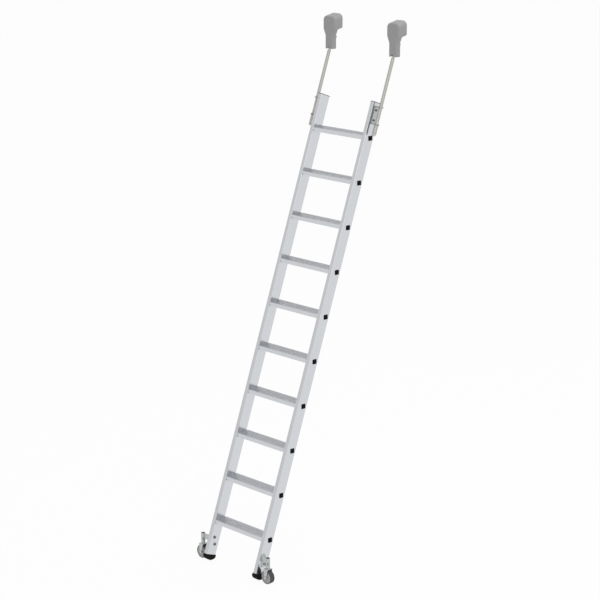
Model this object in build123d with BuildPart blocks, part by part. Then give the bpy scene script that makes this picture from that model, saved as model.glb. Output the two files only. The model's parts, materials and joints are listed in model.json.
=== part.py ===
"""Mobile shelf ladder: ten treads between two leaning stiles, rail heads on sliding rods above,
sprung castors and rubber feet below.  X runs along the treads, the climber looks along +Y, +Z is up.
The origin lies on the floor, midway between the stiles and midway between the toes and the heads."""

import os
from math import cos, radians, sin, sqrt, tan, tau

from build123d import *

os.makedirs("parts", exist_ok=True)

# Ladder
lean = 20.0
tread_count = 10
tread_rise = 250.0
clear_width = 395.0

# Fits: between bodies, between fixed pieces, and between a shaft and its bore
joint_gap = 0.3
slip_gap = 0.1
running_gap = 0.05

# Stiles
stile_thick = 25.0
stile_depth = 73.0
stile_wall = 2.0
stile_corner = 2.5
stile_start = 57.5
stile_above = 203.0

# Treads
tread_depth = 86.0
tread_plate = 4.0
tread_lip = 24.0
tread_lip_wall = 3.0
tread_lip_return = 9.0
tread_nose = 5.0
tread_tail = 10.0
rib_pitch = 8.0
rib_groove = 4.0
rib_depth = 1.2
rib_margin = 7.0
chamber_side = 22.0
chamber_wall = 2.0
chamber_back = 42.5
chamber_drop = 19.0
plug_side = 27.0
plug_flange = 5.0
plug_edge = 1.5
plug_corner = 2.0
plug_shank = 15.0

# Stile caps and feet
cap_plate = 3.5
cap_proud = 1.0
cap_edge = 0.8
cap_shank = 18.0
cap_wall = 2.5
foot_proud = 3.0
foot_edge = 2.5
foot_sole_radius = 50.0
foot_lift = 8.0
foot_wear = 0.8
foot_plug = 38.0

# Guide brackets, rods and stops
rod_diameter = 20.0
rod_out = 33.0
rod_depth = 33.2
rod_reach = 311.0
rod_thread = 16.0
rod_eye = 14.0
rod_shoulder = 41.0
bracket_plate = 4.0
bracket_width = 36.0
bracket_drop = 23.0
bracket_span = 99.0
bracket_bend = 3.0
bush_wall = 2.0
bush_collar = 3.0
bush_collar_wall = 3.0
guide_bolt = 8.0
guide_bolt_head = 14.0
guide_bolt_head_height = 4.5
guide_bolt_edge = 2.0
guide_bolt_inset = 20.0
guide_bolt_length = 16.0
stop_diameter = 25.0
stop_length = 54.0
stop_edge = 1.5
rod_nut_side = 24.0
rod_nut_height = 8.0
rod_tip = 2.0

# Rail heads, measured from the tilt pivot
rail_diameter = 30.0
rail_back = 33.5
rail_up = 69.0
head_front = 20.5
head_neck_back = 15.5
head_block_back = 55.0
head_neck_bottom = 31.0
head_neck_top = 44.0
head_block_bottom = 84.0
head_overhang = 84.0
head_top = 161.5
head_slope = 11.5
head_block_width = 95.0
head_neck_width = 61.0
head_wall = 3.0
head_corner = 28.0
head_bend = 22.0
head_edge = 10.0
head_neck_edge = 6.0
head_notch_width = 20.0
head_notch_height = 13.0
frame_front = 8.0
frame_plate = 4.0
frame_bottom = 14.0
frame_top = 150.0
frame_shoulder = 58.0
frame_wide = 76.0
frame_wide_from = 100.0
ear_gap = 1.0
ear_plate = 3.0
ear_reach = 12.0
ear_top = 48.0
pivot_pin = 8.0
pivot_pin_head = 13.0
pivot_pin_head_height = 2.5
roller_throat = 22.0
roller_width = 16.0
roller_spacing = 44.0
roller_groove_ease = 0.5
roller_axle = 8.0
roller_shoulder = 11.0
roller_rivet = 13.0
roller_rivet_height = 3.0
lock_bolt = 8.0
lock_bolt_up = 35.0
lock_bolt_reach = 27.0
lock_bolt_head = 13.0
lock_bolt_head_height = 5.0

# Castors
castor_reach = 54.0
wheel_diameter = 80.0
wheel_width = 32.0
tyre_thick = 4.0
tyre_shoulder = 2.5
rim_thick = 5.0
rim_inset = 1.0
hub_diameter = 26.0
hub_proud = 1.0
web_inset = 2.5
axle_diameter = 10.0
axle_head = 17.0
axle_head_height = 5.5
axle_head_edge = 2.0
axle_nut_side = 16.0
axle_nut_height = 8.0
axle_tip = 2.0
fork_side_gap = 1.5
fork_plate = 3.0
fork_crown = 4.0
fork_crown_gap = 7.5
fork_width = 31.0
fork_bend = 4.0
fork_boss = 21.0
spring_travel = 8.0
travel_gap = 0.5
tube_diameter = 26.0
tube_bore = 21.0
tube_length = 56.0
stem_hold = 24.0
castor_cap = 4.0
castor_cap_recess = 2.5
castor_cap_socket = 8.0
castor_cap_socket_depth = 2.5
castor_pin = 6.0
castor_pin_up = 18.0
castor_pin_turn = 45.0
slot_gap = 0.3
spring_wire = 2.4
spring_radius = 7.5
spring_turns = 4
plate_thick = 4.0
plate_front = 22.0
plate_rear = 10.0
plate_below_tube = 18.0
plate_height = 78.0
plate_corner = 6.0
arm_thick = 4.0
arm_height = 35.0
castor_bolt = 8.0
castor_bolt_head = 18.5
castor_bolt_head_height = 5.0
castor_bolt_edge = 2.5
castor_bolt_spacing = 44.0
castor_bolt_tip = 2.0
castor_nut_side = 13.0
castor_nut_height = 6.5

# Places along the ladder that follow from the sizes
lean_cos = cos(radians(lean))
lean_sin = sin(radians(lean))
lean_tan = tan(radians(lean))
half_clear = clear_width / 2
half_outer = half_clear + stile_thick
stile_mid_x = half_clear + stile_thick / 2
stile_end = tread_count * tread_rise / lean_cos + stile_above
rod_x = half_outer + rod_out
pivot_s = stile_end + rod_reach
sole_s = (foot_lift - foot_wear + foot_sole_radius + stile_depth / 2 * lean_sin) / lean_cos
toe_s = sole_s - sqrt(foot_sole_radius**2 - (stile_depth / 2 + foot_proud) ** 2)
toe_y = toe_s * lean_sin - foot_proud * lean_cos
pivot_y = pivot_s * lean_sin + rod_depth * lean_cos
floor_line_y = -(toe_y + pivot_y + head_block_back) / 2

# Local x runs along the treads, local y backwards across a stile and local z up along it
lean_plane = Plane(origin=(0, floor_line_y, 0), x_dir=(1, 0, 0), z_dir=(0, lean_sin, lean_cos))
lean_axis = Axis(lean_plane.origin, lean_plane.z_dir)

# Places on the guide brackets and rods
bracket_s = [stile_end - bracket_drop - bracket_span, stile_end - bracket_drop]
guide_bolt_s = [bracket_s[0] + guide_bolt_inset, bracket_s[1] - guide_bolt_inset]
bush_bore = rod_diameter + 2 * running_gap
bush_diameter = bush_bore + 2 * bush_wall
bush_hole = bush_diameter + 2 * running_gap
collar_diameter = bush_diameter + 2 * bush_collar_wall
stop_top = bracket_s[0] - bracket_plate / 2 - bush_collar - joint_gap
stop_bottom = stop_top - stop_length
nut_bottom = stop_bottom - rod_nut_height
thread_bore = rod_thread + 2 * running_gap

# Places in a rail head
pin_bore = pivot_pin + 2 * running_gap
ear_inside = rod_eye / 2 + ear_gap
ear_outside = ear_inside + ear_plate
roller_up = rail_up + (rail_diameter + roller_throat) / 2
roller_bore = roller_axle + 2 * running_gap
frame_back = frame_front + frame_plate
roller_front = rail_back - roller_width / 2
roller_back = rail_back + roller_width / 2
lock_tip = frame_back + lock_bolt_reach
roller_places = [(-roller_spacing / 2, roller_up), (roller_spacing / 2, roller_up)]

# Places on a castor
wheel_radius = wheel_diameter / 2
crown_bottom = wheel_diameter + fork_crown_gap
crown_top = crown_bottom + fork_crown
tube_bottom = crown_top + spring_travel + travel_gap
tube_top = tube_bottom + tube_length
stem_top = tube_bottom + stem_hold
cap_seat = tube_top - castor_cap_recess - castor_cap
pin_z = tube_bottom + castor_pin_up
plate_mid = tube_bottom - plate_below_tube + plate_height / 2
plate_y = floor_line_y + plate_mid * lean_tan + stile_depth / 2 / lean_cos
castor_x = half_outer + castor_reach
castor_y = plate_y - plate_front + arm_thick / 2
castor_bolt_z = [plate_mid - castor_bolt_spacing / 2, plate_mid + castor_bolt_spacing / 2]
stem_diameter = tube_bore - 2 * running_gap
fork_inside = wheel_width / 2 + fork_side_gap
fork_outside = fork_inside + fork_plate
rim_diameter = wheel_diameter - 2 * tyre_thick
axle_bore = axle_diameter + 2 * running_gap

sides = {"left": -1, "right": 1}


def keep(part, name):
    """Label a finished piece and write it to its own file."""
    part.label = name
    export_step(part, f"parts/{name}.step")


def tread_front(step):
    """The front top edge of a tread, at the middle of the ladder."""
    height = step * tread_rise
    return Vector(0, floor_line_y + height * lean_tan, height)


def chamber_centre(step):
    """The middle of the square chamber under a tread."""
    return tread_front(step) + Vector(0, chamber_back, -chamber_drop)


def across(point, side):
    """A plane on a point, facing along X to the given side, with its own y upwards."""
    return Plane(origin=point, x_dir=(0, side, 0), z_dir=(side, 0, 0))


def facing(point):
    """A plane on a point, facing the climber, with its own x along the treads and y upwards."""
    return Plane(origin=point, x_dir=(1, 0, 0), z_dir=(0, -1, 0))


def on_stile(side, depth, along):
    """A point on the outer face of a stile, by its depth from the front and its place along it."""
    return lean_plane.from_local_coords(Vector(side * half_outer, depth, along))


def pivot_of(side):
    """The point about which a rail head tilts on its rod."""
    return lean_plane.from_local_coords(Vector(side * rod_x, rod_depth, pivot_s))


def pin_plane(side):
    """A plane across the cross pin of a castor, on the castor's axis, with its own y upwards."""
    turn = radians(castor_pin_turn)
    middle = (side * castor_x, castor_y, pin_z)
    return Plane(origin=middle, x_dir=(cos(turn), sin(turn), 0), z_dir=(sin(turn), -cos(turn), 0))


def make_stile(side):
    """A box extrusion, cut square, with holes for the tread chambers and the bolts."""
    hole = chamber_side + 2 * slip_gap
    middle = Vector(side * stile_mid_x, 0, 0)
    holes = [across(middle + chamber_centre(step), side) for step in range(1, tread_count + 1)]
    bolts = [across((side * stile_mid_x, plate_y, height), side) for height in castor_bolt_z]
    guides = [across(on_stile(side, rod_depth, along), side) for along in guide_bolt_s]
    with BuildPart() as stile:
        with BuildSketch(lean_plane.offset(stile_start)):
            with Locations((side * stile_mid_x, stile_depth / 2)):
                RectangleRounded(stile_thick, stile_depth, stile_corner)
                Rectangle(stile_thick - 2 * stile_wall, stile_depth - 2 * stile_wall, mode=Mode.SUBTRACT)
        extrude(amount=stile_end - stile_start)
        with BuildSketch(*holes):
            Rectangle(hole, hole)
        extrude(amount=stile_thick, both=True, mode=Mode.SUBTRACT)
        with BuildSketch(*bolts):
            Circle(castor_bolt / 2 + slip_gap)
        extrude(amount=stile_thick, both=True, mode=Mode.SUBTRACT)
        with BuildSketch(*guides):
            Circle(guide_bolt / 2 + slip_gap)
        extrude(amount=-stile_thick / 2, mode=Mode.SUBTRACT)
    return stile.part


def make_tread(step):
    """A ribbed extrusion with a front lip and a square chamber that passes through both stiles."""
    section = Plane(origin=tread_front(step), x_dir=(0, 1, 0), z_dir=(1, 0, 0))
    left = chamber_back - chamber_side / 2
    right = chamber_back + chamber_side / 2
    bottom = -chamber_drop - chamber_side / 2
    bore = chamber_side - 2 * chamber_wall
    grooves = int((tread_depth - 2 * rib_margin - rib_groove) // rib_pitch) + 1
    with BuildPart() as tread:
        with BuildSketch(section):
            with BuildLine():
                Line((0, -tread_lip), (0, -tread_nose))
                RadiusArc((0, -tread_nose), (tread_nose, 0), tread_nose)
                Polyline(
                    (tread_nose, 0),
                    (tread_depth, 0),
                    (tread_depth, -tread_tail),
                    (tread_depth - tread_lip_wall, -tread_tail),
                    (tread_depth - tread_lip_wall, -tread_plate),
                    (right, -tread_plate),
                    (right, bottom),
                    (left, bottom),
                    (left, -tread_plate),
                    (tread_lip_wall, -tread_plate),
                    (tread_lip_wall, tread_lip_wall - tread_lip),
                    (tread_lip_return, tread_lip_wall - tread_lip),
                    (tread_lip_return, -tread_lip),
                    (0, -tread_lip),
                )
            make_face()
            with Locations((tread_depth / 2, 0)):
                with GridLocations(rib_pitch, 1, grooves, 1):
                    Rectangle(rib_groove, 2 * rib_depth, mode=Mode.SUBTRACT)
        extrude(amount=half_clear, both=True)
        with BuildSketch(section):
            with Locations((chamber_back, -chamber_drop)):
                Rectangle(chamber_side, chamber_side)
        extrude(amount=half_outer, both=True)
        with BuildSketch(section):
            with Locations((chamber_back, -chamber_drop)):
                Rectangle(bore, bore)
        extrude(amount=half_outer, both=True, mode=Mode.SUBTRACT)
    return tread.part


def make_tread_plugs(side):
    """Square plugs that close the tread chambers on the outer face of one stile."""
    shank = chamber_side - 2 * chamber_wall - 2 * slip_gap
    face = Vector(side * half_outer, 0, 0)
    seats = [across(face + chamber_centre(step), side) for step in range(1, tread_count + 1)]
    with BuildPart() as plugs:
        with BuildSketch(*seats):
            RectangleRounded(plug_side, plug_side, plug_corner)
        extrude(amount=plug_flange)
        outer_faces = plugs.faces().filter_by(Plane.YZ).sort_by(Axis.X, reverse=side > 0)[:tread_count]
        chamfer(outer_faces.edges(), plug_edge)
        with BuildSketch(*seats):
            Rectangle(shank, shank)
        extrude(amount=-plug_shank)
    return plugs.part


def make_stile_cap(side):
    """A thin moulded cap with a hollow shank in the top of one stile."""
    shank_x = stile_thick - 2 * stile_wall - 2 * slip_gap
    shank_y = stile_depth - 2 * stile_wall - 2 * slip_gap
    with BuildPart() as cap:
        with BuildSketch(lean_plane.offset(stile_end)):
            with Locations((side * stile_mid_x, stile_depth / 2)):
                RectangleRounded(stile_thick + 2 * cap_proud, stile_depth + 2 * cap_proud, stile_corner)
        extrude(amount=cap_plate)
        fillet(cap.faces().sort_by(lean_axis)[-1].edges(), cap_edge)
        with BuildSketch(lean_plane.offset(stile_end)):
            with Locations((side * stile_mid_x, stile_depth / 2)):
                Rectangle(shank_x, shank_y)
                Rectangle(shank_x - 2 * cap_wall, shank_y - 2 * cap_wall, mode=Mode.SUBTRACT)
        extrude(amount=-cap_shank)
    return cap.part


def make_foot(side):
    """A rubber foot: a round sole, worn flat where it meets the floor, and a plug in the stile."""
    middle = Vector(side * stile_mid_x, floor_line_y, 0)
    profile = Plane(origin=middle, x_dir=(0, lean_cos, -lean_sin), z_dir=(1, 0, 0))
    heel = stile_depth + foot_proud
    sole_middle = (stile_depth / 2, sole_s - foot_sole_radius)
    below = (Align.CENTER, Align.CENTER, Align.MAX)
    plug_x = stile_thick - 2 * stile_wall - 2 * slip_gap
    plug_y = stile_depth - 2 * stile_wall - 2 * slip_gap
    with BuildPart() as foot:
        with BuildSketch(profile):
            with BuildLine():
                Polyline((-foot_proud, toe_s), (-foot_proud, stile_start), (heel, stile_start), (heel, toe_s))
                ThreePointArc((heel, toe_s), sole_middle, (-foot_proud, toe_s))
            make_face()
        extrude(amount=stile_thick / 2 + foot_proud, both=True)
        fillet(foot.edges().filter_by(lean_axis), foot_edge)
        with Locations((side * stile_mid_x, floor_line_y, foot_lift)):
            Box(2 * stile_depth, 4 * stile_depth, foot_lift, align=below, mode=Mode.SUBTRACT)
        with BuildSketch(lean_plane.offset(stile_start)):
            with Locations((side * stile_mid_x, stile_depth / 2)):
                Rectangle(plug_x, plug_y)
        extrude(amount=foot_plug)
    return foot.part


def make_guide_bracket(side):
    """A folded U plate on the outer face of a stile, with two round-ended flanges round the rod."""
    low = bracket_s[0] - bracket_plate / 2
    high = bracket_s[1] + bracket_plate / 2
    reach = rod_out + bracket_width / 2
    root = lean_plane.from_local_coords(Vector(side * half_outer, rod_depth, 0))
    fold = Plane(origin=root, x_dir=(side, 0, 0), z_dir=(0, -side * lean_cos, side * lean_sin))
    bolts = [across(on_stile(side, rod_depth, along), side) for along in guide_bolt_s]
    with BuildPart() as bracket:
        with BuildSketch(fold) as outline:
            with BuildLine():
                Polyline(
                    (0, low),
                    (reach, low),
                    (reach, low + bracket_plate),
                    (bracket_plate, low + bracket_plate),
                    (bracket_plate, high - bracket_plate),
                    (reach, high - bracket_plate),
                    (reach, high),
                    (0, high),
                    close=True,
                )
            make_face()
            fillet(outline.vertices().group_by(Axis.X)[1], bracket_bend)
            fillet(outline.vertices().group_by(Axis.X)[0], bracket_bend + bracket_plate)
        extrude(amount=bracket_width / 2, both=True)
        with BuildSketch(lean_plane.offset(low)):
            with Locations((side * rod_x, rod_depth)):
                Circle(bracket_width / 2)
            with Locations((side * (half_outer + rod_out / 2), rod_depth)):
                Rectangle(rod_out, bracket_width)
        extrude(amount=high - low, mode=Mode.INTERSECT)
        with BuildSketch(lean_plane.offset(low)):
            with Locations((side * rod_x, rod_depth)):
                Circle(bush_hole / 2)
        extrude(amount=high - low, mode=Mode.SUBTRACT)
        with BuildSketch(*bolts):
            Circle(guide_bolt / 2 + slip_gap)
        extrude(amount=bracket_plate, mode=Mode.SUBTRACT)
    return bracket.part


def make_guide_bolts():
    """Round-headed bolts that hold the guide brackets, with their nut inserts left in the stile walls."""
    seats = []
    for side in sides.values():
        for along in guide_bolt_s:
            seats.append(across(on_stile(side, rod_depth, along), side).offset(bracket_plate))
    with BuildPart() as bolts:
        with BuildSketch(*seats):
            Circle(guide_bolt_head / 2)
        extrude(amount=guide_bolt_head_height)
        rims = bolts.edges().filter_by(GeomType.CIRCLE)
        fillet(rims.group_by(lambda rim: round(abs(rim.center().X), 3))[-1], guide_bolt_edge)
        with BuildSketch(*seats):
            Circle(guide_bolt / 2)
        extrude(amount=-guide_bolt_length)
    return bolts.part


def make_guide_bushes():
    """Collared bushes in the bracket flanges, with their collars on the far sides."""
    upper = lean_plane.offset(bracket_s[1] + bracket_plate / 2)
    lower = lean_plane.offset(bracket_s[0] - bracket_plate / 2)
    under = Plane(origin=lower.origin, x_dir=lower.x_dir, z_dir=-lower.z_dir)
    with BuildPart() as bushes:
        for seat, depth in ((upper, rod_depth), (under, -rod_depth)):
            with BuildSketch(seat):
                with Locations((-rod_x, depth), (rod_x, depth)):
                    Circle(collar_diameter / 2)
                    Circle(bush_bore / 2, mode=Mode.SUBTRACT)
            extrude(amount=bush_collar)
            with BuildSketch(seat):
                with Locations((-rod_x, depth), (rod_x, depth)):
                    Circle(bush_diameter / 2)
                    Circle(bush_bore / 2, mode=Mode.SUBTRACT)
            extrude(amount=-bracket_plate)
    return bushes.part


def make_guide_rod(side):
    """A round bar with a thinner eye on the head's pivot and a threaded lower end."""
    with BuildPart() as rod:
        with BuildSketch(lean_plane.offset(stop_top)):
            with Locations((side * rod_x, rod_depth)):
                Circle(rod_diameter / 2)
        extrude(amount=pivot_s - rod_shoulder - stop_top)
        with BuildSketch(lean_plane.offset(pivot_s)):
            with Locations((side * rod_x, rod_depth)):
                Circle(rod_eye / 2)
        extrude(amount=-rod_shoulder)
        with Locations(pivot_of(side)):
            Sphere(rod_eye / 2)
        with BuildSketch(lean_plane.offset(stop_top)):
            with Locations((side * rod_x, rod_depth)):
                Circle(rod_thread / 2)
        extrude(amount=nut_bottom - rod_tip - stop_top)
        with BuildSketch(across(pivot_of(side), side)):
            Circle(pin_bore / 2)
        extrude(amount=rod_diameter, both=True, mode=Mode.SUBTRACT)
    return rod.part


def make_rod_stop(side):
    """A sleeve between the rod's shoulder and its nut, which stops the rod under the bracket."""
    with BuildPart() as stop:
        with BuildSketch(lean_plane.offset(stop_bottom)):
            with Locations((side * rod_x, rod_depth)):
                Circle(stop_diameter / 2)
        extrude(amount=stop_length)
        ends = stop.faces().sort_by(lean_axis)
        chamfer(ends[0].edges() + ends[-1].edges(), stop_edge)
        with BuildSketch(lean_plane.offset(stop_bottom)):
            with Locations((side * rod_x, rod_depth)):
                Circle(thread_bore / 2)
        extrude(amount=stop_length, mode=Mode.SUBTRACT)
    return stop.part


def make_rod_nut(side):
    """A hexagon nut under the stop sleeve."""
    with BuildPart() as nut:
        with BuildSketch(lean_plane.offset(nut_bottom)):
            with Locations((side * rod_x, rod_depth)):
                RegularPolygon(rod_nut_side / 2, 6, major_radius=False)
                Circle(thread_bore / 2, mode=Mode.SUBTRACT)
        extrude(amount=rod_nut_height)
    return nut.part


def make_head_shape(side, inset):
    """The outside of a rail head, or with an inset the hollow inside it, which is open below.
    The front outline is drawn back along a slope, so that the top and the shoulders rise to the back."""
    pivot = pivot_of(side)
    slope = radians(head_slope)
    neck = head_neck_width / 2
    block = head_block_width / 2
    front = inset - head_front
    neck_back = head_neck_back - inset
    back = head_block_back - inset
    depth = back - front
    low = -head_neck_bottom - inset
    sunk = low - inset - depth * tan(slope)
    overhang = head_overhang - inset * tan(slope)
    start = facing(pivot + Vector(0, 0, inset * tan(slope))).offset(-front)
    with BuildPart() as shape:
        with BuildSketch(start) as outline:
            with BuildLine():
                Polyline(
                    (-neck, sunk),
                    (neck, sunk),
                    (neck, head_neck_top),
                    (block, head_block_bottom),
                    (block, head_top),
                    (-block, head_top),
                    (-block, head_block_bottom),
                    (-neck, head_neck_top),
                    close=True,
                )
            make_face()
            fillet(outline.vertices().group_by(Axis.Y)[-1], head_corner)
            fillet(outline.vertices().group_by(Axis.Y)[1:3], head_bend)
            if inset > 0:
                offset(amount=-inset)
        extrude(amount=depth / cos(slope), dir=(0, cos(slope), sin(slope)))
        ends = shape.faces().sort_by(Axis.Y)
        fillet(ends[0].edges() + ends[-1].edges(), head_edge - inset)
        with BuildSketch(across(pivot, 1)):
            with BuildLine():
                Polyline(
                    (front, low),
                    (neck_back, low),
                    (neck_back, overhang),
                    (back, overhang + (back - neck_back) * tan(slope)),
                    (back, head_top + depth),
                    (front, head_top + depth),
                    close=True,
                )
            make_face()
        extrude(amount=block, both=True, mode=Mode.INTERSECT)
        if inset == 0:
            neck_face = shape.faces().filter_by(Axis.Y).sort_by(Axis.Y)[1]
            fillet(neck_face.edges().filter_by(Axis.X, reverse=True), head_neck_edge)
    return shape.part


def make_head_cover(side):
    """A moulded hood over the head: a neck round the rod's end and a wide block over the rollers."""
    pivot = pivot_of(side)
    outside = make_head_shape(side, 0)
    inside = make_head_shape(side, head_wall)
    with BuildPart() as cover:
        add(outside)
        add(inside, mode=Mode.SUBTRACT)
        with BuildSketch(facing(pivot).offset(head_front)):
            with Locations((0, head_notch_height - head_notch_width / 2 - head_neck_bottom)):
                Circle(head_notch_width / 2)
            with Locations((0, -head_neck_bottom)):
                Rectangle(head_notch_width, 2 * head_notch_height - head_notch_width)
        extrude(amount=-2 * head_wall, mode=Mode.SUBTRACT)
        with BuildSketch(facing(pivot).offset(-head_neck_back)):
            with Locations((0, lock_bolt_up)):
                Circle(lock_bolt / 2 + slip_gap)
        extrude(amount=2 * head_wall, mode=Mode.SUBTRACT)
    return cover.part


def make_head_frame(side):
    """A steel carrier: a plate in the hood with two ears that straddle the rod's end."""
    pivot = pivot_of(side)
    neck = head_neck_width / 2 - head_wall
    with BuildPart() as frame:
        with BuildSketch(facing(pivot).offset(-frame_front)):
            with BuildLine():
                Polyline(
                    (-neck, frame_bottom),
                    (neck, frame_bottom),
                    (neck, frame_shoulder),
                    (frame_wide / 2, frame_wide_from),
                    (frame_wide / 2, frame_top),
                    (-frame_wide / 2, frame_top),
                    (-frame_wide / 2, frame_wide_from),
                    (-neck, frame_shoulder),
                    close=True,
                )
            make_face()
            with Locations(*roller_places):
                Circle(roller_bore / 2, mode=Mode.SUBTRACT)
            with Locations((0, lock_bolt_up)):
                Circle(lock_bolt / 2 + running_gap, mode=Mode.SUBTRACT)
        extrude(amount=-frame_plate)
        for hand in (-1, 1):
            with BuildSketch(across(pivot, hand).offset(ear_inside)):
                Circle(ear_reach)
                with Locations((0, ear_top / 2)):
                    Rectangle(2 * ear_reach, ear_top)
                Circle(pin_bore / 2, mode=Mode.SUBTRACT)
            extrude(amount=ear_plate)
    return frame.part


def make_head_pivot(side):
    """A riveted pin through the ears and the rod's round end."""
    ends = [across(pivot_of(side), hand).offset(ear_outside) for hand in (-1, 1)]
    with BuildPart() as pin:
        with BuildSketch(across(pivot_of(side), side)):
            Circle(pivot_pin / 2)
        extrude(amount=ear_outside, both=True)
        with BuildSketch(*ends):
            Circle(pivot_pin_head / 2)
        extrude(amount=pivot_pin_head_height)
    return pin.part


def make_head_roller(side, place):
    """A grooved roller that runs along the round rail."""
    hub = pivot_of(side) + Vector(place, rail_back, roller_up)
    groove = rail_diameter / 2 + roller_groove_ease
    half = roller_width / 2
    throat = roller_throat / 2
    rim = throat + groove - sqrt(groove**2 - half**2)
    with BuildPart() as roller:
        with BuildSketch(across(hub, 1)):
            with BuildLine():
                Polyline((half, rim), (half, roller_bore / 2), (-half, roller_bore / 2), (-half, rim))
                ThreePointArc((-half, rim), (0, throat), (half, rim))
            make_face()
        revolve(axis=Axis(hub, (0, 1, 0)))
    return roller.part


def make_roller_axles(side):
    """Two riveted axles on the carrier, each with a shoulder before its roller and a rivet behind."""
    seat = facing(pivot_of(side))
    steps = [
        (frame_front - roller_rivet_height, frame_front, roller_rivet),
        (frame_front, roller_back + joint_gap, roller_axle),
        (frame_back, roller_front - joint_gap, roller_shoulder),
        (roller_back + joint_gap, roller_back + joint_gap + roller_rivet_height, roller_rivet),
    ]
    with BuildPart() as axles:
        for start, end, diameter in steps:
            with BuildSketch(seat.offset(-start)):
                with Locations(*roller_places):
                    Circle(diameter / 2)
            extrude(amount=start - end)
    return axles.part


def make_lift_lock(side):
    """A headed bolt behind the neck, which keeps the head from lifting off the rail."""
    seat = facing(pivot_of(side))
    steps = [
        (frame_front - lock_bolt_head_height, frame_front, lock_bolt_head),
        (frame_front, lock_tip, lock_bolt),
        (lock_tip, lock_tip + lock_bolt_head_height, lock_bolt_head),
    ]
    with BuildPart() as lock:
        for start, end, diameter in steps:
            with BuildSketch(seat.offset(-start)):
                with Locations((0, lock_bolt_up)):
                    Circle(diameter / 2)
            extrude(amount=start - end)
    return lock.part


def make_castor_bracket(side):
    """A plate bolted to the stile, with a welded arm and an upright tube slotted on two sides."""
    face = across((side * half_outer, plate_y, plate_mid), side)
    tube_mid = Vector(side * castor_x, castor_y, 0)
    arm_length = castor_reach - plate_thick
    with BuildPart() as bracket:
        with BuildSketch(face):
            with Locations((side * (plate_rear - plate_front) / 2, 0)):
                RectangleRounded(plate_front + plate_rear, plate_height, plate_corner)
            with GridLocations(1, castor_bolt_spacing, 1, 2):
                Circle(castor_bolt / 2 + slip_gap, mode=Mode.SUBTRACT)
        extrude(amount=plate_thick)
        with Locations((side * (castor_x - arm_length / 2), castor_y, tube_top - arm_height / 2)):
            Box(arm_length, arm_thick, arm_height)
        with BuildSketch(Plane(tube_mid).offset(tube_bottom)):
            Circle(tube_diameter / 2)
        extrude(amount=tube_length)
        with BuildSketch(Plane(tube_mid).offset(tube_bottom)):
            Circle(tube_bore / 2)
        extrude(amount=tube_length, mode=Mode.SUBTRACT)
        with BuildSketch(pin_plane(side)):
            with Locations((0, spring_travel / 2)):
                SlotCenterToCenter(spring_travel + 2 * slot_gap, castor_pin + 2 * slot_gap, rotation=90)
        extrude(amount=tube_diameter, both=True, mode=Mode.SUBTRACT)
    return bracket.part


def make_castor_bolts():
    """Round-headed bolts, with their heads on the inner faces of the stiles."""
    seats = []
    for side in sides.values():
        for height in castor_bolt_z:
            seats.append(across((side * half_clear, plate_y, height), -side))
    length = stile_thick + plate_thick + castor_nut_height + castor_bolt_tip
    with BuildPart() as bolts:
        with BuildSketch(*seats):
            Circle(castor_bolt_head / 2)
        extrude(amount=castor_bolt_head_height)
        rims = bolts.edges().filter_by(GeomType.CIRCLE)
        fillet(rims.group_by(lambda rim: round(abs(rim.center().X), 3))[0], castor_bolt_edge)
        with BuildSketch(*seats):
            Circle(castor_bolt / 2)
        extrude(amount=-length)
    return bolts.part


def make_castor_nuts():
    """Hexagon nuts on the castor plates."""
    seats = []
    for side in sides.values():
        for height in castor_bolt_z:
            seats.append(across((side * (half_outer + plate_thick), plate_y, height), side))
    with BuildPart() as nuts:
        with BuildSketch(*seats):
            RegularPolygon(castor_nut_side / 2, 6, major_radius=False)
            Circle(castor_bolt / 2 + running_gap, mode=Mode.SUBTRACT)
        extrude(amount=castor_nut_height)
    return nuts.part


def make_castor_caps():
    """Plugs with a key socket, which close the tubes above the springs."""
    seats = [Plane((side * castor_x, castor_y, cap_seat)) for side in sides.values()]
    with BuildPart() as caps:
        with BuildSketch(*seats):
            Circle(tube_bore / 2 - running_gap)
        extrude(amount=castor_cap)
        with BuildSketch(*[seat.offset(castor_cap) for seat in seats]):
            RegularPolygon(castor_cap_socket / 2, 6, major_radius=False)
        extrude(amount=-castor_cap_socket_depth, mode=Mode.SUBTRACT)
    return caps.part


def make_castor_spring(side):
    """A coil spring between the fork's stem and the cap, its turns made of arcs a quarter turn long."""
    pitch = (cap_seat - stem_top - spring_wire) / spring_turns
    start_z = stem_top + spring_wire / 2
    rise = pitch / tau

    def helix_point(turn):
        angle = turn * tau
        return Vector(
            side * castor_x + spring_radius * cos(angle),
            castor_y + spring_radius * sin(angle),
            start_z + pitch * turn,
        )

    def helix_heading(turn):
        angle = turn * tau
        return Vector(-spring_radius * sin(angle), spring_radius * cos(angle), rise).normalized()

    with BuildPart() as spring:
        with BuildLine() as coil:
            for quarter in range(4 * spring_turns):
                here = helix_point(quarter / 4)
                there = helix_point((quarter + 1) / 4)
                leave = helix_heading(quarter / 4)
                arrive = helix_heading((quarter + 1) / 4)
                chord = there - here
                both = leave + arrive
                a = 2 * leave.dot(arrive) - 2
                b = -2 * chord.dot(both)
                c = chord.dot(chord)
                reach = (-b - sqrt(b * b - 4 * a * c)) / (2 * a)
                middle = (here + there + (leave - arrive) * reach) / 2
                along = (chord - both * reach).normalized()
                TangentArc(here, middle, tangent=leave)
                TangentArc(middle, there, tangent=along)
        with BuildSketch(Plane(origin=helix_point(0), z_dir=helix_heading(0))):
            Circle(spring_wire / 2)
        sweep(path=coil.wire())
    samples = [helix_point(index / 48) for index in range(48 * spring_turns + 1)]
    gap = min((a - b).length for i, a in enumerate(samples) for b in samples[i + 24 :]) - spring_wire
    print(f"spring: least gap to itself {gap:.2f} mm")
    return spring.part


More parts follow.
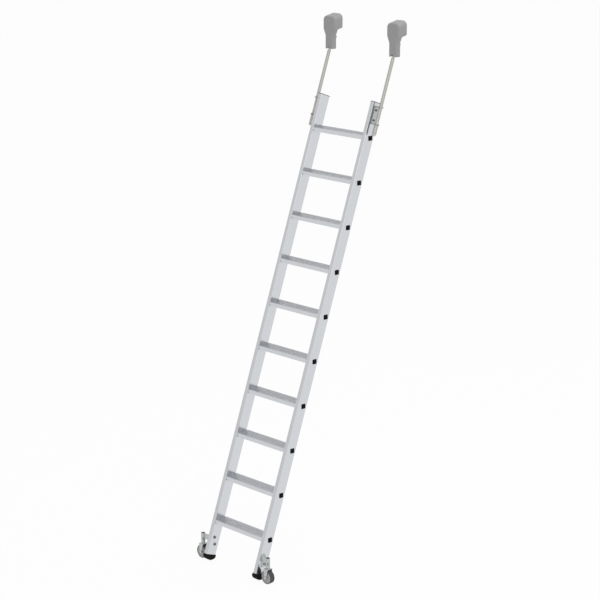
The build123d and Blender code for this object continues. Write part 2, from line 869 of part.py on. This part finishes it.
def make_castor_fork(side):
    """A strip bent over the wheel to a fork, with a stem that slides in the tube."""
    wheel_mid = Vector(side * castor_x, castor_y, wheel_radius)
    base = Plane((side * castor_x, castor_y, 0))
    with BuildPart() as fork:
        with BuildSketch(base.offset(crown_bottom)):
            Rectangle(fork_width, 2 * fork_outside)
        extrude(amount=fork_crown)
        for hand in (-1, 1):
            with BuildSketch(facing(wheel_mid).offset(hand * fork_inside)):
                Circle(fork_boss / 2)
                with Locations((0, crown_bottom + fork_crown / 2 - wheel_radius)):
                    Rectangle(fork_width, fork_crown)
                make_hull()
                Circle(axle_diameter / 2 + slip_gap, mode=Mode.SUBTRACT)
            extrude(amount=hand * fork_plate)
        fillet(fork.edges().filter_by(Axis.X).group_by(Axis.Z)[-1], fork_bend)
        with BuildSketch(base.offset(crown_top)):
            Circle(stem_diameter / 2)
        extrude(amount=stem_top - crown_top)
        with BuildSketch(pin_plane(side)):
            Circle(castor_pin / 2 + running_gap)
        extrude(amount=tube_diameter, both=True, mode=Mode.SUBTRACT)
    return fork.part


def make_castor_pin(side):
    """A cross pin in the stem, which runs in the slots of the tube."""
    with BuildPart() as pin:
        with BuildSketch(pin_plane(side)):
            Circle(castor_pin / 2)
        extrude(amount=tube_diameter / 2, both=True)
    return pin.part


def make_wheel_tyre(side):
    """A rubber tyre with rounded shoulders."""
    hub = Vector(side * castor_x, castor_y, wheel_radius)
    half = wheel_width / 2
    seat = rim_diameter / 2 + running_gap
    with BuildPart() as tyre:
        with BuildSketch(across(hub, 1)) as section:
            with Locations((0, (wheel_radius + seat) / 2)):
                Rectangle(wheel_width, wheel_radius - seat)
            fillet(section.vertices().group_by(Axis.Y)[-1], tyre_shoulder)
        revolve(axis=Axis(hub, (0, 1, 0)))
    return tyre.part


def make_wheel_hub(side):
    """A moulded wheel centre: a rim, a thinner web and a hub."""
    middle = Vector(side * castor_x, castor_y, wheel_radius)
    bore = axle_bore / 2
    hub = hub_diameter / 2
    rim = rim_diameter / 2
    hub_half = wheel_width / 2 + hub_proud
    rim_half = wheel_width / 2 - rim_inset
    web_half = wheel_width / 2 - web_inset
    with BuildPart() as centre:
        with BuildSketch(across(middle, 1)):
            with BuildLine():
                Polyline(
                    (-hub_half, bore),
                    (-hub_half, hub),
                    (-web_half, hub),
                    (-web_half, rim - rim_thick),
                    (-rim_half, rim - rim_thick),
                    (-rim_half, rim),
                    (rim_half, rim),
                    (rim_half, rim - rim_thick),
                    (web_half, rim - rim_thick),
                    (web_half, hub),
                    (hub_half, hub),
                    (hub_half, bore),
                    close=True,
                )
            make_face()
        revolve(axis=Axis(middle, (0, 1, 0)))
    return centre.part


def make_wheel_axle(side):
    """An axle bolt through the fork, with its round head in front and its nut behind."""
    middle = facing((side * castor_x, castor_y, wheel_radius))
    length = 2 * fork_outside + axle_nut_height + axle_tip
    with BuildPart() as axle:
        with BuildSketch(middle.offset(fork_outside)):
            Circle(axle_head / 2)
        extrude(amount=axle_head_height)
        fillet(axle.faces().sort_by(Axis.Y)[0].edges(), axle_head_edge)
        with BuildSketch(middle.offset(fork_outside)):
            Circle(axle_diameter / 2)
        extrude(amount=-length)
        with BuildSketch(middle.offset(-fork_outside)):
            RegularPolygon(axle_nut_side / 2, 6, major_radius=False)
            Circle(axle_bore / 2, mode=Mode.SUBTRACT)
        extrude(amount=-axle_nut_height)
    return axle.part


for step in range(1, tread_count + 1):
    keep(make_tread(step), f"tread_{step:02d}")

keep(make_guide_bolts(), "guide_bolts")
keep(make_guide_bushes(), "guide_bushes")
keep(make_castor_bolts(), "castor_bolts")
keep(make_castor_nuts(), "castor_nuts")
keep(make_castor_caps(), "castor_caps")

makers = {
    "stile": make_stile,
    "tread_plugs": make_tread_plugs,
    "stile_cap": make_stile_cap,
    "foot": make_foot,
    "guide_bracket": make_guide_bracket,
    "guide_rod": make_guide_rod,
    "rod_stop": make_rod_stop,
    "rod_nut": make_rod_nut,
    "head_cover": make_head_cover,
    "head_frame": make_head_frame,
    "head_pivot": make_head_pivot,
    "roller_axles": make_roller_axles,
    "lift_lock": make_lift_lock,
    "castor_bracket": make_castor_bracket,
    "castor_spring": make_castor_spring,
    "castor_fork": make_castor_fork,
    "castor_pin": make_castor_pin,
    "wheel_tyre": make_wheel_tyre,
    "wheel_hub": make_wheel_hub,
    "wheel_axle": make_wheel_axle,
}
for hand, side in sides.items():
    for name, make in makers.items():
        keep(make(side), f"{hand}_{name}")
    for place, offset_x in {"inner": -side * roller_spacing / 2, "outer": side * roller_spacing / 2}.items():
        keep(make_head_roller(side, offset_x), f"{hand}_head_roller_{place}")
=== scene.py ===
"""The looks of the mobile shelf ladder: finishes for its pieces, small fasteners, weld beads and springs,
a pale floor, soft studio light and the camera.  Metres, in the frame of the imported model."""

import json
from math import cos, radians, sin, tan

import bpy
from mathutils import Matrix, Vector


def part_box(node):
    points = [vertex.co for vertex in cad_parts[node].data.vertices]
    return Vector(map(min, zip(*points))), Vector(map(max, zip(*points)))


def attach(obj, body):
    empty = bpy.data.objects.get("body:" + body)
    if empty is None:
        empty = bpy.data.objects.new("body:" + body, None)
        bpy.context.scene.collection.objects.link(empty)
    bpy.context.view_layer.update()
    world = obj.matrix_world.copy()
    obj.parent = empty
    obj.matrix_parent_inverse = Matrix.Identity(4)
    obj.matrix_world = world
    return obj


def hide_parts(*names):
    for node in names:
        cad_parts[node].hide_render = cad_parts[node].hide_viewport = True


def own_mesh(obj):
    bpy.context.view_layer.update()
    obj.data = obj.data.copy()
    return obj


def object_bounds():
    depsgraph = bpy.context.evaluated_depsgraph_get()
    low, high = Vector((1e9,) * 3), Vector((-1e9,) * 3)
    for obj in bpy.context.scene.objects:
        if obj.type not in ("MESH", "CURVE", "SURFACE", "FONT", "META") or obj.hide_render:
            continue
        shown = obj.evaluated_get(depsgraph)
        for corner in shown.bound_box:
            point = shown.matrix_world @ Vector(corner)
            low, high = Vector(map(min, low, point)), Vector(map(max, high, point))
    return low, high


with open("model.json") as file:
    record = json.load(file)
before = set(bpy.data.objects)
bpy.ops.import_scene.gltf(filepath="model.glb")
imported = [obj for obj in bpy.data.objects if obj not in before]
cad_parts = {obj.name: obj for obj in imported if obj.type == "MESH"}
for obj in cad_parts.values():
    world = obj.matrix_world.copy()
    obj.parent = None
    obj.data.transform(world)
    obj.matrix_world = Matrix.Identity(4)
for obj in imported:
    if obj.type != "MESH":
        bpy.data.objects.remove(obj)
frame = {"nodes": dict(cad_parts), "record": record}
cad_low, cad_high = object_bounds()

# Sizes of the ladder that the finishes and small pieces follow
LEAN = radians(20.0)
STILE_DEPTH = 0.073
STILE_INNER_X = 0.1975
ROD_X = 0.2555
ROD_DEPTH = 0.0332
BRACKET_HALF = 0.018
FLANGE_X = 0.226, 0.258
TREAD_RISE = 0.250
TREAD_BELOW = 0.1
RIB_DEPTH = 0.0012
GUIDE_BOLT = {
    "head": 0.0070,
    "height": 0.0045,
    "round": 0.0020,
    "shank": 0.0040,
    "length": 0.016,
    "key": 0.0029,
}
CASTOR_BOLT = {
    "head": 0.00925,
    "height": 0.0050,
    "round": 0.0028,
    "shank": 0.0040,
    "length": 0.0375,
    "key": 0.0029,
}
CASTOR_NUT = {"flat": 0.0065, "height": 0.0065, "bore": 0.0041}
TUBE_RADIUS = 0.013
TUBE_TOP = 0.156
ARM_HEIGHT = 0.035
ARM_HALF = 0.002
BEAD_RADIUS = 0.0019
BEAD_SIDES = 16
BEAD_RINGS = 10
BEAD_RIPPLES = 17
BEAD_GRID = 0.0004
BEAD_TILT = radians(25.0)
BEAD_FORM = 1.15, 1.0, 0.8
SMOOTH_ANGLE = radians(35.0)
MERGE_GAP = 0.000001

# Fasteners: sides of their forms, the floor of a key socket as a share of the head's height, and the
# round and chamfer of a nut's corners as shares of half its width over flats
ROUND_SIDES = 48
BORE_SIDES = 32
HEXAGON = 6
RIM_STEPS = 6
SOCKET_FLOOR = 0.45
NUT_ROUND = 1.14
NUT_CHAMFER = 0.19

# Studio: the floor's share of plain white, the room's strength as a light, and the lamps' offsets
# from the ladder's middle with their watts
FLOOR_SIZE = 400.0
FLOOR_WHITE = 0.94
ROOM_LIGHT = 0.7
LAMP_SIZE = 4.0
LAMPS = {"key_lamp": ((5.0, -2.5, 3.0), 60), "top_lamp": ((1.4, 2.1, 6.5), 120)}

# Camera
LENS = 114.46
SENSOR = 36.0
CAMERA_AZIMUTH = radians(45.0)
CAMERA_PITCH = radians(15.0)
CAMERA_X = 7.6307
CAMERA_BEFORE_TOES = 7.0416
CAMERA_HEIGHT = 4.4301
CAMERA_REACH = 500.0


class Value:
    """A number that a finish's nodes work out.  Arithmetic on it adds Math nodes."""

    def __init__(self, finish, socket):
        self.finish = finish
        self.socket = socket

    def math(self, operation, *values):
        """One Math node on the given values."""
        return self.finish.node("ShaderNodeMath", {"operation": operation}, dict(enumerate(values)))

    def __add__(self, other):
        return self.math("ADD", self, other)

    __radd__ = __add__

    def __sub__(self, other):
        return self.math("SUBTRACT", self, other)

    def __rsub__(self, other):
        return self.math("SUBTRACT", other, self)

    def __mul__(self, other):
        return self.math("MULTIPLY", self, other)

    __rmul__ = __mul__

    def __pow__(self, other):
        return self.math("POWER", self, other)

    def __mod__(self, other):
        return self.math("FLOORED_MODULO", self, other)

    def __abs__(self):
        return self.math("ABSOLUTE", self)

    def step(self, low, high):
        """Nought below low, one above high, and smooth between them."""
        return self.finish.node(
            "ShaderNodeMapRange",
            {"interpolation_type": "SMOOTHSTEP"},
            {"Value": self, "From Min": low, "From Max": high},
        )


class Nodes:
    """A tree of shader nodes that grows by one node at a time."""

    def __init__(self, tree):
        self.tree = tree

    def node(self, kind, settings, inputs, output=0):
        """Adds a node of a kind, sets it up, fills its sockets and gives one of its outputs."""
        made = self.tree.nodes.new(kind)
        for key, setting in settings.items():
            setattr(made, key, setting)
        for key, value in inputs.items():
            if isinstance(value, Value):
                self.tree.links.new(value.socket, made.inputs[key])
            else:
                made.inputs[key].default_value = value
        return Value(self, made.outputs[output])

    def ray(self, kind):
        """One for rays of a kind, nought for others."""
        return self.node("ShaderNodeLightPath", {}, {}, f"Is {kind} Ray")

    def shown(self):
        """One where the camera looks, straight, by a mirror or through something clear."""
        camera = self.ray("Camera")
        mirrored = camera.math("MAXIMUM", self.ray("Glossy"), self.ray("Transmission"))
        return camera.math("MAXIMUM", camera, mirrored)

    def blend(self, factor, low, high):
        """A colour between two colours, of which each may be worked out too."""
        low = low if isinstance(low, Value) else (*low, 1)
        high = high if isinstance(high, Value) else (*high, 1)
        sockets = {"Factor": factor, 6: low, 7: high}
        return self.node("ShaderNodeMix", {"data_type": "RGBA"}, sockets, 2)


class Finish(Nodes):
    """A procedural material on the piece's own coordinates."""

    def __init__(self, name):
        self.material = bpy.data.materials.new(name)
        self.material.use_nodes = True
        super().__init__(self.material.node_tree)
        self.shader = self.tree.nodes["Principled BSDF"]

    def place(self, turn=(0, 0, 0), scale=(1, 1, 1), at=(0, 0, 0)):
        """The piece's own coordinates, turned, stretched and moved for a pattern."""
        own = self.node("ShaderNodeTexCoord", {}, {}, "Object")
        sockets = {"Vector": own, "Rotation": turn, "Scale": scale, "Location": at}
        return self.node("ShaderNodeMapping", {}, sockets)

    def noise(self, where, scale, detail=3.0, roughness=0.55):
        """Soft irregular variation between nought and one."""
        sockets = {"Vector": where, "Scale": scale, "Detail": detail, "Roughness": roughness}
        return self.node("ShaderNodeTexNoise", {}, sockets)

    def axis(self, where, letter):
        """One coordinate of a place."""
        return self.node("ShaderNodeSeparateXYZ", {}, {"Vector": where}, letter)

    def behind_front(self, start=0.0):
        """How far a point lies behind the front faces of the leaning stiles, counted from a start."""
        foot_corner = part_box("left_stile")[0]
        front_line = foot_corner.y - (foot_corner.z + STILE_DEPTH * sin(LEAN)) * tan(LEAN)
        return self.axis(self.place(turn=(LEAN, 0, 0), at=(0, -front_line * cos(LEAN) - start, 0)), "Y")

    def bump(self, height, strength, depth):
        """A surface normal from a height between nought and one, and its depth in metres."""
        return self.node("ShaderNodeBump", {}, {"Height": height, "Strength": strength, "Distance": depth})

    def fill(self, **sockets):
        """Sets or links the shader's own sockets, named with underscores for spaces."""
        for key, value in sockets.items():
            socket = self.shader.inputs[key.replace("_", " ")]
            if isinstance(value, Value):
                self.tree.links.new(value.socket, socket)
            else:
                socket.default_value = value
        return self.material


def extruded_aluminium():
    """Satin extruded aluminium with faint draw lines along the leaning stiles, and front faces painted darker
    as painted shade.
    """
    finish = Finish("extruded_aluminium")
    behind = finish.behind_front().step(0.0006, 0.0016)
    lines = finish.noise(finish.place(turn=(LEAN, 0, 0), scale=(900, 900, 5)), 1.0, 4.0)
    cloud = finish.noise(finish.place(), 7.0)
    tone = lines * 0.6 + cloud * 0.4
    bright = finish.blend(tone, (0.600, 0.615, 0.645), (0.690, 0.705, 0.735))
    # Painted shade: the front faces get a darker copy of the same aluminium.
    shaded_front = finish.blend(tone, (0.495, 0.505, 0.522), (0.565, 0.575, 0.592))
    return finish.fill(
        Base_Color=finish.blend(behind, shaded_front, bright),
        Metallic=1.0,
        Roughness=0.13 + lines * 0.08,
        Normal=finish.bump(lines, 0.02, 0.0001),
    )


def ribbed_aluminium():
    """Tread aluminium with fine lines: smoother rib tops and rougher grooves, grooves and tread tops painted
    darker as painted shade, and lips painted lighter as painted light.
    """
    finish = Finish("ribbed_aluminium")
    height = (finish.axis(finish.place(), "Z") + TREAD_BELOW) % TREAD_RISE - TREAD_BELOW
    top = height.step(-1.6 * RIB_DEPTH, -1.2 * RIB_DEPTH)
    groove = top * (1 - height.step(-0.8 * RIB_DEPTH, -0.2 * RIB_DEPTH))
    lines = finish.noise(finish.place(scale=(4, 1400, 1400)), 1.0, 3.0)
    cloud = finish.noise(finish.place(), 11.0)
    tone = lines * 0.7 + cloud * 0.3
    # Painted light and shade: a lighter copy of the aluminium for the lips and a darker copy for the tread
    # tops.
    lit_lip = finish.blend(tone, (0.570, 0.585, 0.610), (0.660, 0.675, 0.700))
    shaded_tread_top = finish.blend(tone, (0.490, 0.503, 0.528), (0.580, 0.593, 0.618))
    return finish.fill(
        # Painted shade: the groove floors are darkened a fifth of the way towards dark grey.
        Base_Color=finish.blend(groove * 0.2, finish.blend(top, lit_lip, shaded_tread_top), (0.17, 0.17, 0.18)),
        Metallic=1.0,
        Roughness=0.22 + groove * 0.2 + lines * 0.1,
        Normal=finish.bump(lines, 0.03, 0.0001),
    )


def plated_steel(name, dark, light, edge_shade=0.0):
    """Plated or blackened steel, slightly cloudy.  A bracket's front and rear edges may get painted shade,
    less of it on its flanges."""
    finish = Finish(name)
    cloud = finish.noise(finish.place(), 60.0)
    grain = finish.noise(finish.place(), 900.0, 2.0)
    colour = finish.blend(cloud, dark, light)
    if edge_shade:
        side = abs(finish.axis(finish.place(), "X"))
        offset = abs(finish.behind_front(ROD_DEPTH))
        outward = side.math("MAXIMUM", side - ROD_X, 0.0)
        from_rod = (offset ** 2 + outward ** 2) ** 0.5
        edge = from_rod.step(BRACKET_HALF - 0.0005, BRACKET_HALF - 0.0003)
        across = offset.step(0.3 * BRACKET_HALF, 0.7 * BRACKET_HALF)
        less_on_flanges = side.step(*FLANGE_X) * 0.7
        # Painted shade: near-black colour along the bracket's front and rear edges.
        edge_shade_colour = finish.blend(grain, (0.06, 0.062, 0.065), (0.13, 0.132, 0.135))
        colour = finish.blend(edge * across * (1 - less_on_flanges) * edge_shade, colour, edge_shade_colour)
    return finish.fill(
        Base_Color=colour,
        Metallic=1.0,
        Roughness=0.18 + cloud * 0.08,
        Normal=finish.bump(grain, 0.03, 0.0001),
    )


def drawn_bar():
    """A warm bright bar with faint lines along it."""
    finish = Finish("drawn_bar")
    lines = finish.noise(finish.place(turn=(LEAN, 0, 0), scale=(1200, 1200, 8)), 1.0, 3.0)
    return finish.fill(
        Base_Color=finish.blend(lines, (0.410, 0.402, 0.380), (0.494, 0.484, 0.458)),
        Metallic=1.0,
        Roughness=0.42 + lines * 0.16,
        Normal=finish.bump(lines, 0.1, 0.0001),
    )


def oiled_spring_wire():
    """Dark spring steel with a trace of oil."""
    finish = Finish("oiled_spring_wire")
    cloud = finish.noise(finish.place(), 240.0)
    return finish.fill(
        Base_Color=finish.blend(cloud, (0.10, 0.10, 0.105), (0.22, 0.22, 0.23)),
        Metallic=1.0,
        Roughness=0.3 + cloud * 0.15,
    )


def moulded_plastic(name, dark, light, roughness, shine=0.5):
    """Moulded plastic with a fine spark-eroded grain."""
    finish = Finish(name)
    cloud = finish.noise(finish.place(), 18.0)
    grain = finish.noise(finish.place(), 1600.0, 2.0)
    return finish.fill(
        Base_Color=finish.blend(cloud * 0.7 + grain * 0.3, dark, light),
        Roughness=roughness + grain * 0.1 + cloud * 0.05,
        Specular_IOR_Level=shine,
        Normal=finish.bump(grain, 0.35, 0.0002),
    )


def moulded_rubber(name, dark, dust, dust_amount, shine):
    """Matte rubber with a little dust in its grain."""
    finish = Finish(name)
    cloud = finish.noise(finish.place(), 45.0, 5.0, 0.7)
    grain = finish.noise(finish.place(), 1100.0, 2.0)
    dusty = cloud.step(0.45, 0.75) * dust_amount
    return finish.fill(
        Base_Color=finish.blend(dusty, dark, dust),
        Roughness=0.62 + grain * 0.2,
        Specular_IOR_Level=shine,
        Normal=finish.bump(grain, 0.4, 0.0002),
    )


def grey(level):
    """A colour without a hue."""
    return level, level, level


ZINC = (0.43, 0.455, 0.455), (0.51, 0.535, 0.53)
finishes = {
    "stile_aluminium": extruded_aluminium(),
    "tread_aluminium": ribbed_aluminium(),
    "zinc_steel": plated_steel("zinc_plate", *ZINC),
    "bolt_steel": plated_steel("blackened_steel", (0.14, 0.145, 0.15), (0.22, 0.225, 0.23)),
    "rod_steel": drawn_bar(),
    "spring_steel": oiled_spring_wire(),
    "grey_plastic": moulded_plastic("hood_plastic", grey(0.305), grey(0.345), 0.55),
    "dark_plastic": moulded_plastic("cap_plastic", (0.060, 0.060, 0.063), (0.090, 0.090, 0.094), 0.5, 0.25),
    "black_plastic": moulded_plastic("plug_plastic", grey(0.003), grey(0.005), 0.45, 0.06),
    "roller_plastic": moulded_plastic("roller_nylon", (0.66, 0.65, 0.60), (0.74, 0.73, 0.69), 0.4),
    "hub_plastic": moulded_plastic("wheel_plastic", (0.37, 0.37, 0.375), (0.43, 0.43, 0.435), 0.45),
    "black_rubber": moulded_rubber("foot_rubber", grey(0.008), grey(0.026), 0.4, 0.10),
    "tyre_rubber": moulded_rubber("tyre_rubber", (0.072, 0.072, 0.074), grey(0.120), 0.5, 0.25),
}
for subpart in frame["record"]["subparts"]:
    node = frame["nodes"][subpart["node"]]
    node.data.materials.clear()
    node.data.materials.append(finishes[subpart["material_slot"]])
# The guide brackets carry painted shade along their front and rear edges.
edge_shaded_plate = plated_steel("zinc_plate_edge_shade", *ZINC, edge_shade=0.9)
for name in ("left_guide_bracket", "right_guide_bracket"):
    frame["nodes"][name].data.materials[0] = edge_shaded_plate


def select_only(*pieces):
    """Selects these pieces and no others, and makes the first of them active."""
    bpy.ops.object.select_all(action="DESELECT")
    for piece in pieces:
        piece.select_set(True)
    bpy.context.view_layer.objects.active = pieces[0]


def pick(piece, part, test):
    """Leaves the piece in edit mode with only those of its edges or faces selected that pass a test."""
    bpy.ops.object.mode_set(mode="EDIT")
    bpy.ops.mesh.select_mode(type=part)
    bpy.ops.mesh.select_all(action="DESELECT")
    bpy.ops.object.mode_set(mode="OBJECT")
    corners = piece.data.vertices
    for element in piece.data.edges if part == "EDGE" else piece.data.polygons:
        element.select = all(test(corners[corner].co) for corner in element.vertices)
    bpy.ops.object.mode_set(mode="EDIT")


def cut(piece, tool, operation):
    """Cuts a piece with a tool, or keeps what is inside the tool, and takes the tool away."""
    change = piece.modifiers.new("cut", "BOOLEAN")
    change.operation = operation
    change.solver = "EXACT"
    change.object = tool
    select_only(piece)
    bpy.ops.object.modifier_apply(modifier=change.name)
    bpy.data.objects.remove(tool)


def add_round(sides, radius, low, high):
    """A round or many-sided bar along Z, as a start for a piece."""
    bpy.ops.object.select_all(action="DESELECT")
    middle = (0, 0, (low + high) / 2)
    bpy.ops.mesh.primitive_cylinder_add(vertices=sides, radius=radius, depth=high - low, location=middle)
    bpy.ops.object.transform_apply(location=True, rotation=False, scale=False)
    return bpy.context.object


def model_bolt(sizes):
    """A button-head bolt along Z, its seat at nought: a rounded rim, a key socket and a plain shank."""
    top = sizes["height"]
    bolt = add_round(ROUND_SIDES, sizes["head"], 0, top)
    pick(bolt, "EDGE", lambda corner: corner.z > top * 0.9)
    bpy.ops.mesh.bevel(offset=sizes["round"], segments=RIM_STEPS, profile=0.5, affect="EDGES")
    pick(bolt, "FACE", lambda corner: corner.z < top * 0.1)
    bpy.ops.mesh.inset(thickness=sizes["head"] - sizes["shank"])
    bpy.ops.mesh.extrude_region_move(TRANSFORM_OT_translate={"value": (0, 0, -sizes["length"])})
    bpy.ops.object.mode_set(mode="OBJECT")
    cut(bolt, add_round(HEXAGON, sizes["key"], top * SOCKET_FLOOR, top * 1.5), "DIFFERENCE")
    return bolt


def model_nut(sizes):
    """A hexagon nut along Z, its seat at nought, with its corners chamfered and a bore."""
    top = sizes["height"]
    nut = add_round(HEXAGON, sizes["flat"] / cos(radians(30)), 0, top)
    turned = add_round(ROUND_SIDES, sizes["flat"] * NUT_ROUND, 0, top)
    pick(turned, "EDGE", lambda corner: corner.z > top * 0.9)
    bpy.ops.mesh.bevel(offset=sizes["flat"] * NUT_CHAMFER, segments=1, affect="EDGES")
    bpy.ops.object.mode_set(mode="OBJECT")
    cut(nut, turned, "INTERSECT")
    cut(nut, add_round(BORE_SIDES, sizes["bore"], -top, 2 * top), "DIFFERENCE")
    return nut


def set_in_place(model, seats, name, slot, *nodes):
    """Copies a model that stands on Z to seats that face along X, and puts the copies on the ladder."""
    copies = []
    for place, facing in seats:
        select_only(model)
        bpy.ops.object.duplicate(linked=False)
        copy = bpy.context.object
        copy.location = place
        copy.rotation_euler = (0, facing * radians(90), 0)
        bpy.ops.object.transform_apply(location=True, rotation=True, scale=True)
        copies.append(copy)
    bpy.data.objects.remove(model)
    put_on_ladder(copies, name, slot, *nodes)


def put_on_ladder(copies, name, slot, *nodes):
    """Joins finished copies to one piece, gives it its finish and lets it ride on the ladder."""
    select_only(*copies)
    bpy.ops.object.join()
    piece = copies[0]
    bpy.ops.object.shade_smooth_by_angle(angle=SMOOTH_ANGLE)
    piece.name = name
    piece.data.name = name
    piece.data.materials.clear()
    piece.data.materials.append(finishes[slot])
    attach(piece, "ladder")
    if nodes:
        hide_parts(*nodes)


def add_guide_bolts():
    """Button-head bolts on the guide brackets."""
    low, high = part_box("guide_bolts")
    radius = GUIDE_BOLT["head"]
    seats = []
    for facing in (-1, 1):
        for y, z in ((low.y + radius, low.z + radius), (high.y - radius, high.z - radius)):
            seats.append(((facing * (high.x - GUIDE_BOLT["height"]), y, z), facing))
    set_in_place(model_bolt(GUIDE_BOLT), seats, "button_bolts_guide", "bolt_steel", "guide_bolts")


def add_castor_bolts():
    """Button-head bolts through the stiles, and the nuts on the castor plates."""
    low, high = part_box("castor_bolts")
    nut_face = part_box("castor_nuts")[1].x - CASTOR_NUT["height"]
    y = (low.y + high.y) / 2
    heights = (low.z + CASTOR_BOLT["head"], high.z - CASTOR_BOLT["head"])
    inner = [((-facing * STILE_INNER_X, y, z), facing) for facing in (-1, 1) for z in heights]
    outer = [((facing * nut_face, y, z), facing) for facing in (-1, 1) for z in heights]
    set_in_place(model_bolt(CASTOR_BOLT), inner, "button_bolts_castor", "bolt_steel", "castor_bolts")
    set_in_place(model_nut(CASTOR_NUT), outer, "hexagon_nuts_castor", "zinc_steel", "castor_nuts")


def add_weld_beads():
    """Rippled weld beads where the arm of each castor bracket meets its tube."""
    beads = []
    for side, node in ((-1, "left_castor_bracket"), (1, "right_castor_bracket")):
        low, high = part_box(node)
        tube_x = max(abs(low.x), abs(high.x)) - TUBE_RADIUS
        tube_y = low.y + TUBE_RADIUS
        seam_x = side * (tube_x - TUBE_RADIUS)
        seam_z = TUBE_TOP - ARM_HEIGHT + BEAD_RADIUS
        for face in (-1, 1):
            seam = (seam_x, tube_y + face * ARM_HALF, seam_z)
            bpy.ops.object.select_all(action="DESELECT")
            bpy.ops.mesh.primitive_uv_sphere_add(
                segments=BEAD_SIDES,
                ring_count=BEAD_RINGS,
                radius=BEAD_RADIUS,
                location=seam,
            )
            bead = bpy.context.object
            bead.rotation_euler = (BEAD_TILT, 0, 0)
            bead.scale = BEAD_FORM
            bpy.ops.object.transform_apply(location=True, rotation=True, scale=True)
            row = bead.modifiers.new("ripples", "ARRAY")
            row.count = BEAD_RIPPLES
            row.use_relative_offset = False
            row.use_constant_offset = True
            ripple = (ARM_HEIGHT - 2 * BEAD_RADIUS) / (BEAD_RIPPLES - 1)
            row.constant_offset_displace = (0, 0, ripple)
            bpy.ops.object.modifier_apply(modifier=row.name)
            skin = bead.modifiers.new("one_skin", "REMESH")
            skin.mode = "VOXEL"
            skin.voxel_size = BEAD_GRID
            bpy.ops.object.modifier_apply(modifier=skin.name)
            beads.append(bead)
    put_on_ladder(beads, "weld_beads", "zinc_steel")


def add_springs():
    """Coil springs as in the model, each a merged, smooth-shaded copy that rides on the ladder in place of
    the model's spring.
    """
    for side in ("left", "right"):
        node = f"{side}_castor_spring"
        spring = bpy.data.objects.new(f"{side}_coil_spring", frame["nodes"][node].data.copy())
        bpy.context.scene.collection.objects.link(spring)
        select_only(spring)
        bpy.ops.object.mode_set(mode="EDIT")
        bpy.ops.mesh.select_all(action="SELECT")
        bpy.ops.mesh.remove_doubles(threshold=MERGE_GAP)
        bpy.ops.object.mode_set(mode="OBJECT")
        bpy.ops.object.shade_smooth_by_angle(angle=SMOOTH_ANGLE)
        spring.data.name = spring.name
        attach(spring, "ladder")
        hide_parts(node)
        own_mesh(spring)


add_guide_bolts()
add_castor_bolts()
add_weld_beads()
add_springs()


def add_floor():
    """A pale studio floor that shows white and keeps a soft shadow."""
    bpy.ops.mesh.primitive_plane_add(size=FLOOR_SIZE, location=(0, 0, 0))
    floor = bpy.context.object
    floor.name = "studio_floor"
    finish = Finish("studio_floor")
    white = finish.node("ShaderNodeEmission", {}, {"Color": (1, 1, 1, 1)})
    finish.fill(Base_Color=(0.9, 0.9, 0.9, 1), Roughness=0.9)
    lit = Value(finish, finish.shader.outputs[0])
    mixed = finish.node("ShaderNodeMixShader", {}, {0: finish.shown() * FLOOR_WHITE, 1: lit, 2: white})
    finish.tree.links.new(mixed.socket, finish.tree.nodes["Material Output"].inputs["Surface"])
    floor.data.materials.append(finish.material)


def add_world():
    """A white room, softer as a light than it looks."""
    world = bpy.data.worlds.new("white_room")
    bpy.context.scene.world = world
    world.use_nodes = True
    room = Nodes(world.node_tree)
    sky = room.tree.nodes["Background"]
    sky.inputs["Color"].default_value = (1, 1, 1, 1)
    strength = room.shown() * (1 - ROOM_LIGHT) + ROOM_LIGHT
    room.tree.links.new(strength.socket, sky.inputs["Strength"])


def add_lamps():
    """Large soft lamps that point at the ladder's middle."""
    middle = (cad_low + cad_high) / 2
    for name, (offset, watts) in LAMPS.items():
        lamp = bpy.data.lights.new(name, "AREA")
        lamp.size = LAMP_SIZE
        lamp.energy = watts
        holder = bpy.data.objects.new(name, lamp)
        bpy.context.scene.collection.objects.link(holder)
        holder.location = middle + Vector(offset)
        holder.rotation_euler = (-Vector(offset)).to_track_quat("-Z", "Y").to_euler()


def add_camera():
    """The camera at the photograph's place, square to no face of the ladder."""
    camera = bpy.data.objects.new("camera", bpy.data.cameras.new("camera"))
    bpy.context.scene.collection.objects.link(camera)
    camera.data.lens = LENS
    camera.data.sensor_width = SENSOR
    camera.data.clip_end = CAMERA_REACH
    forward = Vector((
        -sin(CAMERA_AZIMUTH) * cos(CAMERA_PITCH),
        cos(CAMERA_AZIMUTH) * cos(CAMERA_PITCH),
        -sin(CAMERA_PITCH),
    ))
    camera.location = (CAMERA_X, cad_low.y - CAMERA_BEFORE_TOES, CAMERA_HEIGHT)
    camera.rotation_euler = forward.to_track_quat("-Z", "Y").to_euler()
    bpy.context.scene.camera = camera


add_floor()
add_world()
add_lamps()
add_camera()

scene = bpy.context.scene
scene.view_settings.view_transform = "Standard"
